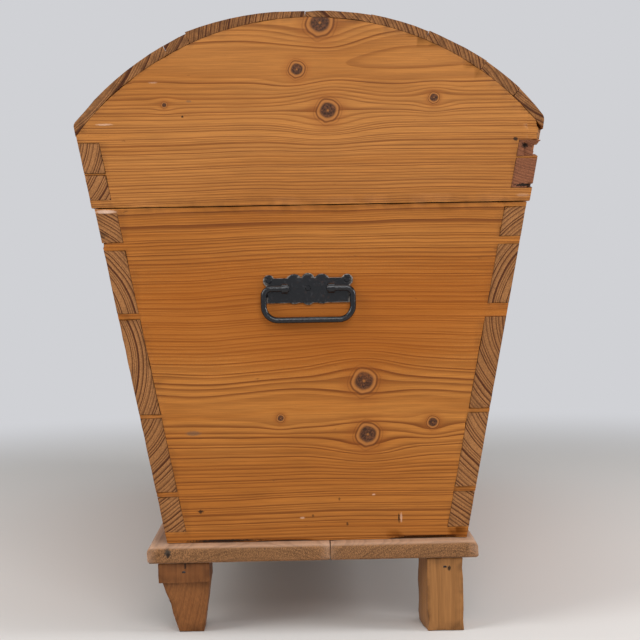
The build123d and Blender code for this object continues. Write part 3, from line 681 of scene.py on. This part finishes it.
# heart: the middle of the tree, across the grain and into the board
# knots: place along and across the grain, radius
# marks: place in Y and Z, half sizes, tone, strength
# scars: centre, half sizes, push
endPanels = {
    "right_end_panel": {
        "heart": (0.233, 0.492), "ringWidth": 0.0034, "wander": 0.02, "seed": 0.0,
        "knots": [
            ((0.052, 0.260), 0.0140), ((0.055, 0.204), 0.0128),
            ((0.1235, 0.2155), 0.0068), ((-0.036, 0.2226), 0.0046),
        ],
        "marks": [
            (0.0, 0.3300, 0.3000, 0.0700, "amber", 0.45),
            (-0.2147, 0.4417, 0.0125, 0.0026, "pale", 0.95),
            (-0.2300, 0.4110, 0.0150, 0.0045, "crack", 0.75),
            (-0.0975, 0.0958, 0.0470, 0.0016, "crack", 1.0),
            (0.1150, 0.0955, 0.0400, 0.0015, "crack", 0.8),
            (-0.1213, 0.1267, 0.004, 0.0016, "crack", 0.8),
            (-0.1213, 0.1262, 0.0016, 0.003, "crack", 0.6),
            (-0.1276, 0.2085, 0.009, 0.003, "stain", 0.55),
            (0.0860, 0.1159, 0.0010, 0.006, "crack", 0.9),
            (0.0885, 0.1165, 0.0012, 0.006, "pale", 0.5),
            (0.0320, 0.1110, 0.0016, 0.002, "crack", 0.7),
            (-0.0040, 0.1200, 0.0016, 0.0016, "crack", 0.6),
            (0.0240, 0.1370, 0.0012, 0.002, "crack", 0.6),
            (-0.0150, 0.1180, 0.0030, 0.0012, "pale", 0.5),
            (0.060, 0.141, 0.002, 0.001, "pale", 0.6),
        ],
        "scars": [
            ((0.532, -0.226, 0.411), (0.015, 0.012, 0.007), (-0.0015, 0.0016, 0)),
            ((0.532, -0.035, 0.0945), (0.004, 0.030, 0.002), (-0.002, 0, 0.0008)),
            ((0.532, 0.1150, 0.0945), (0.004, 0.042, 0.003), (-0.003, 0, 0.0016)),
        ],
    },
    "left_end_panel": {
        "heart": (0.31, -0.49), "ringWidth": 0.0034, "wander": 0.022, "seed": 4.0,
        "knots": [((-0.07, 0.33), 0.012), ((0.085, 0.262), 0.009), ((0.02, 0.17), 0.0055)],
    },
}

# the ends of the front and back walls show the rings of six different boards
wallBoards = {
    "front_board_lower": {"heart": (0.262, -0.250), "ringWidth": 0.0036, "seed": 1.0},
    "front_board_middle": {"heart": (0.280, -0.290), "ringWidth": 0.0031, "seed": 2.0},
    "front_board_upper": {
        "heart": (0.310, -0.290), "ringWidth": 0.0031, "seed": 3.0,
        "marks": [(-0.222, 0.4180, 0.012, 0.0045, "crack", 0.5)],
    },
    "back_board_lower": {"heart": (0.262, 0.250), "ringWidth": 0.0036, "seed": 5.0},
    "back_board_middle": {"heart": (0.325, 0.272), "ringWidth": 0.0034, "seed": 6.0},
    "back_board_upper": {"heart": (0.310, 0.300), "ringWidth": 0.0034, "seed": 7.0},
}

basePlanks = {
    "base_plank_front": {
        "heart": (-0.05, -0.06), "ringWidth": 0.005, "seed": 8.0,
        "marks": [
            # painted highlight: a pale strip along the rounded top edge of the end, where it catches the
            # light
            (0.0, 0.0930, 0.300, 0.0024, "pale", 0.25),
            (-0.155, 0.0872, 0.004, 0.0052, "rust", 0.95),
            (-0.1545, 0.0850, 0.0022, 0.003, "crack", 0.8),
        ],
    },
    "base_plank_back": {
        "heart": (-0.04, 0.14), "ringWidth": 0.005, "seed": 9.0,
        # painted highlight: a pale strip along the rounded top edge of the end, where it catches the light
        "marks": [(0.0, 0.0930, 0.300, 0.0024, "pale", 0.25)],
    },
}
baseFinish = {
    "wander": 0.03, "speckScale": 1250.0, "speckDepth": 0.55, "speckBump": 1.4,
    "endContrast": 0.45, "edgeTone": "pale",
}

chestFeet = {
    "front_right_foot": {
        "heart": (-0.20, 0.60), "ringWidth": 0.0040, "seed": 10.0,
        "marks": [
            # painted shade: the top of the foot's block is darkened where the base shades it
            (-0.140, 0.0680, 0.060, 0.0150, "shade", 0.45),
            (-0.1375, 0.0735, 0.0013, 0.005, "crack", 0.95),
        ],
    },
    "front_left_foot": {"heart": (-0.20, -0.60), "ringWidth": 0.0040, "seed": 11.0},
    "back_right_foot": {
        "heart": (0.16, 0.60), "ringWidth": 0.0062, "seed": 12.0, "tones": paleFootPine,
        "marks": [(0.1365, 0.0650, 0.0022, 0.003, "crack", 0.9)],
    },
    "back_left_foot": {
        "heart": (0.16, -0.60), "ringWidth": 0.0062, "seed": 13.0, "tones": paleFootPine,
    },
}
footFinish = {"wander": 0.01, "edgeShare": 0.5, "contrast": 0.45}

lidEnds = {
    "lid_right_end": {
        "heart": (0.597, 0.482), "ringWidth": 0.0029, "wander": 0.022, "seed": 14.0,
        "knots": [
            ((-0.0125, 0.5876), 0.0090), ((0.0193, 0.544), 0.0122), ((0.1308, 0.5556), 0.0062),
            ((0.0125, 0.6360), 0.015), ((-0.1518, 0.5524), 0.0034),
        ],
        "marks": [
            (-0.133, 0.5400, 0.0014, 0.0014, "crack", 0.9),
            (-0.126, 0.5560, 0.003, 0.0015, "stain", 0.45),
            (-0.163, 0.5760, 0.005, 0.001, "pale", 0.3),
            (0.2157, 0.5110, 0.0028, 0.0026, "crack", 0.9),
            (0.2240, 0.4608, 0.0120, 0.0016, "crack", 1.0),
            (-0.2190, 0.4610, 0.0050, 0.0016, "crack", 0.8),
            (0.2220, 0.4520, 0.0080, 0.0020, "pale", 0.2),
            (-0.2150, 0.5330, 0.0100, 0.0012, "pale", 0.5),
        ],
        "scars": [((0.532, 0.238, 0.518), (0.012, 0.010, 0.012), (-0.001, -0.004, 0))],
    },
    "lid_left_end": {
        "heart": (0.50, -0.49), "ringWidth": 0.0035, "wander": 0.024, "seed": 15.0,
        "knots": [((0.05, 0.56), 0.010), ((-0.09, 0.50), 0.006), ((-0.03, 0.61), 0.007)],
    },
}

# the back rail is chipped where it meets the end board
lidRails = {
    "lid_front_rail": {"heart": (0.525, -0.315), "ringWidth": 0.0034, "seed": 16.0},
    "lid_back_rail": {
        "heart": (0.60, 0.27), "ringWidth": 0.0030, "seed": 17.0,
        "endContrast": 0.7, "tones": brickPine,
        "marks": [
            (0.2255, 0.5040, 0.0045, 0.0030, "crack", 1.0),
            (0.2157, 0.5100, 0.0028, 0.0026, "crack", 0.9),
            (0.2235, 0.4625, 0.0110, 0.0020, "crack", 1.0),
            (0.2110, 0.4780, 0.0010, 0.0150, "crack", 0.6),
        ],
        "scars": [
            ((0.520, 0.236, 0.4995), (0.028, 0.012, 0.009), (-0.004, -0.008, 0)),
            ((0.520, 0.236, 0.4600), (0.016, 0.010, 0.004), (-0.004, -0.003, 0.002)),
        ],
    },
}

# from front to back: heart (height, depth), ring width, and how far the top of the plank
# stands up at its front edge and at its back edge
domePlanks = [
    ((0.685, -0.36), 0.0034, -0.0004, 0.0034),
    ((0.70, -0.30), 0.0030, 0.0038, 0.0040),
    ((0.60, 0.15), 0.0028, 0.0060, 0.0),
    ((0.50, -0.12), 0.0034, 0.0, 0.0018),
    ((0.58, -0.05), 0.0034, 0.0024, 0.0026),
    ((0.56, 0.02), 0.0034, 0.0032, 0.0036),
    ((0.50, 0.09), 0.0034, 0.0030, 0.0024),
    ((0.64, 0.30), 0.0034, 0.0020, -0.0008),
]
domeFinish = {"edgeShare": 0.5}
domeShape = {
    "centre": 0.3248,
    "radius": 0.3239,
    "closeUp": 0.0004,  # how far a plank reaches towards its neighbour
}

# edge rounding, spacing of the cuts in X, Y and Z, depth of the hollows and of the chips
boardWear = {
    "panel": {"edge": 0.00025, "cuts": (0, 0.012, 0.012), "hollow": 0.0003, "chips": 0.0015},
    "wall": {"edge": 0.00025, "cuts": (0.04, 0.012, 0.012), "hollow": 0.0003, "chips": 0.002},
    "base": {"edge": 0.0012, "cuts": (0.04, 0.012, 0), "hollow": 0.0005, "chips": 0.002},
    "foot": {"edge": 0.0012, "cuts": (0.012, 0.012, 0.012), "hollow": 0.0005, "chips": 0.004},
    "plank": {"edge": 0.0005, "cuts": (0.04, 0, 0), "hollow": 0.0003, "chips": 0.002},
}

# boards, their wear, material slot, grain axis, tones and finish
boardGroups = [
    (endPanels, "panel", "box_pine", "Y", honeyPine, {}),
    (wallBoards, "wall", "box_pine", "X", honeyPine, {}),
    (basePlanks, "base", "base_pine", "X", basePine, baseFinish),
    (chestFeet, "foot", "foot_pine", "Z", redPine, footFinish),
    (lidEnds, "panel", "lid_pine", "Y", lidPine, {}),
    (lidRails, "wall", "lid_pine", "X", honeyPine, {}),
]


def makeBoard(node, wood, wearName, grain, tones, finish, shaping=None):
    wood = {**plainBoard, "grain": grain, "tones": tones, **finish, **wood}
    wear = dict(boardWear[wearName], seed=wood["seed"], scars=wood["scars"])
    placePiece(wornCopy(node, wear, shaping), node, pineMaterial(node, wood))


def liftPlank(frontLift, backLift, isFirst, isLast):
    # closes the gaps to the neighbours and lifts the top at each edge
    centre = domeShape["centre"]

    def shaping(work):
        angles = [math.atan2(vert.co.y, vert.co.z - centre) for vert in work.verts]
        radii = [math.hypot(vert.co.y, vert.co.z - centre) for vert in work.verts]
        low, high = min(angles), max(angles)
        inner, outer = min(radii), max(radii)
        stretch = domeShape["closeUp"] / domeShape["radius"]
        for vert, angle, radius in zip(work.verts, angles, radii):
            share = (angle - low) / (high - low)
            if not isFirst:
                angle -= stretch * (1 - share)
            if not isLast:
                angle += stretch * share
            height = (radius - inner) / (outer - inner)
            lift = frontLift + (backLift - frontLift) * share
            # the underside stays, and the lift is full from 0.8 of the thickness
            radius += lift * min(1.0, max(0.0, height * 2 - 0.6))
            vert.co.y = radius * math.sin(angle)
            vert.co.z = centre + radius * math.cos(angle)
    return shaping


def makeBoards():
    for boards, wearName, slotName, grain, tones, finish in boardGroups:
        for node, wood in boards.items():
            makeBoard(node, wood, wearName, grain, tones, finish)
    print("chest: boards made")

    last = len(domePlanks) - 1
    for number, (heart, ringWidth, frontLift, backLift) in enumerate(domePlanks):
        node = f"lid_plank_{number + 1}"
        wood = {"heart": heart, "ringWidth": ringWidth, "seed": 20.0 + number}
        shaping = liftPlank(frontLift, backLift, number == 0, number == last)
        makeBoard(node, wood, "plank", "X", honeyPine, domeFinish, shaping)
    print("chest: dome planks made")


# screen colours, 0 to 255, then what the shader takes
blackIron = {
    "black": (14, 15, 19),
    "grey": (52, 52, 55),
    "bare": (160, 150, 140),
    "rust": (58, 36, 28),
    "metallic": 0.15,
    "gloss": 0.4,
    "coat": 0.2,
    "coatRoughness": 0.1,
    "roughness": 0.07,
    "roughnessSwing": 0.28,
    "cloudScale": 160.0,
    "cloudDetail": (3, 0.6),
    "hammerScale": 260.0,
    "rubStep": (0.38, 0.6),
    "rustStep": (0.58, 0.74),
    "rustShare": 0.5,
    "greyStep": (0.56, 0.78),
    "greyShare": 0.5,
    "bareShare": 0.85,
    "cloudBump": 0.3,
    "bumpStrength": 0.5,
    "bumpDistance": 0.001,
}
# for each slot: nodes, edge rounding, spacing of the cuts in X, Y and Z
ironPieces = {
    "handle_iron": [
        (("right_handle_plate", "left_handle_plate"), 0.0005, (0, 0.003, 0.003)),
        (("right_handle_eyes", "left_handle_eyes", "right_bail", "left_bail"), 0.0, (0, 0, 0)),
    ],
    "hinge_iron": [
        (("right_hinge_strap", "left_hinge_strap"), 0.0005, (0.004, 0, 0.006)),
        (("right_lid_leaf", "left_lid_leaf"), 0.0005, (0.004, 0, 0.006)),
        (("right_hinge_pin", "left_hinge_pin"), 0.0004, (0, 0, 0)),
    ],
    "lock_iron": [
        (("escutcheon", "lock_plate", "lock_cover", "lock_staple"), 0.0004, (0.004, 0, 0.004)),
        (("lock_guides", "lock_bolt", "key"), 0.0003, (0, 0, 0)),
    ],
}
ironWear = {"hollow": 0.0, "chips": 0.0, "scars": (), "seed": 0.0}
nailNodes = [
    "handle_nails", "strap_nails", "leaf_nails", "lock_nails", "escutcheon_nails", "staple_nails",
    "base_nails", "foot_nails", "lid_plank_nails",
]


def ironMaterial(name, iron):
    material, tree, shader = startMaterial(name)
    shader.inputs["Metallic"].default_value = iron["metallic"]
    shader.inputs["Specular IOR Level"].default_value = iron["gloss"]
    shader.inputs["Coat Weight"].default_value = iron["coat"]
    shader.inputs["Coat Roughness"].default_value = iron["coatRoughness"]
    place = addNode(tree, "ShaderNodeTexCoord").outputs["Object"]
    worn = addNode(tree, "ShaderNodeAttribute", attribute_name="worn").outputs["Fac"]
    cloud = noiseAt(tree, place, iron["cloudScale"], *iron["cloudDetail"])
    hammer = noiseAt(tree, place, iron["hammerScale"], 2)
    rust = ease(tree, cloud, *iron["rustStep"], 0.0, iron["rustShare"])
    tone = mixColour(tree, rust, toLinear(iron["black"]), toLinear(iron["rust"]))
    grey = ease(tree, hammer, *iron["greyStep"], 0.0, iron["greyShare"])
    tone = mixColour(tree, grey, tone, toLinear(iron["grey"]))
    rub = calc(tree, "MULTIPLY", worn, ease(tree, cloud, *iron["rubStep"]))
    tone = mixColour(tree, calc(tree, "MULTIPLY", rub, iron["bareShare"]), tone, toLinear(iron["bare"]))
    feed(tree, shader.inputs["Base Color"], tone)
    rough = calc(tree, "MULTIPLY_ADD", cloud, iron["roughnessSwing"], iron["roughness"])
    feed(tree, shader.inputs["Roughness"], rough)
    height = calc(tree, "ADD", hammer, calc(tree, "MULTIPLY", cloud, iron["cloudBump"]))
    addBump(tree, shader, height, iron["bumpStrength"], iron["bumpDistance"])
    return material


def makeIron():
    iron = ironMaterial("blackIron", blackIron)
    for slotName, groups in ironPieces.items():
        for members, edge, cuts in groups:
            for node in members:
                placePiece(wornCopy(node, dict(ironWear, edge=edge, cuts=cuts)), node, iron)
    # the nails keep their solids and get the iron
    for node in nailNodes:
        cadNodes[node].data.materials.clear()
        cadNodes[node].data.materials.append(iron)
    print("chest: iron made")


makeCamera()
makeStudio()
makeKnotGroup()
makeBoards()
makeIron()

bpy.context.scene.view_settings.view_transform = "Standard"
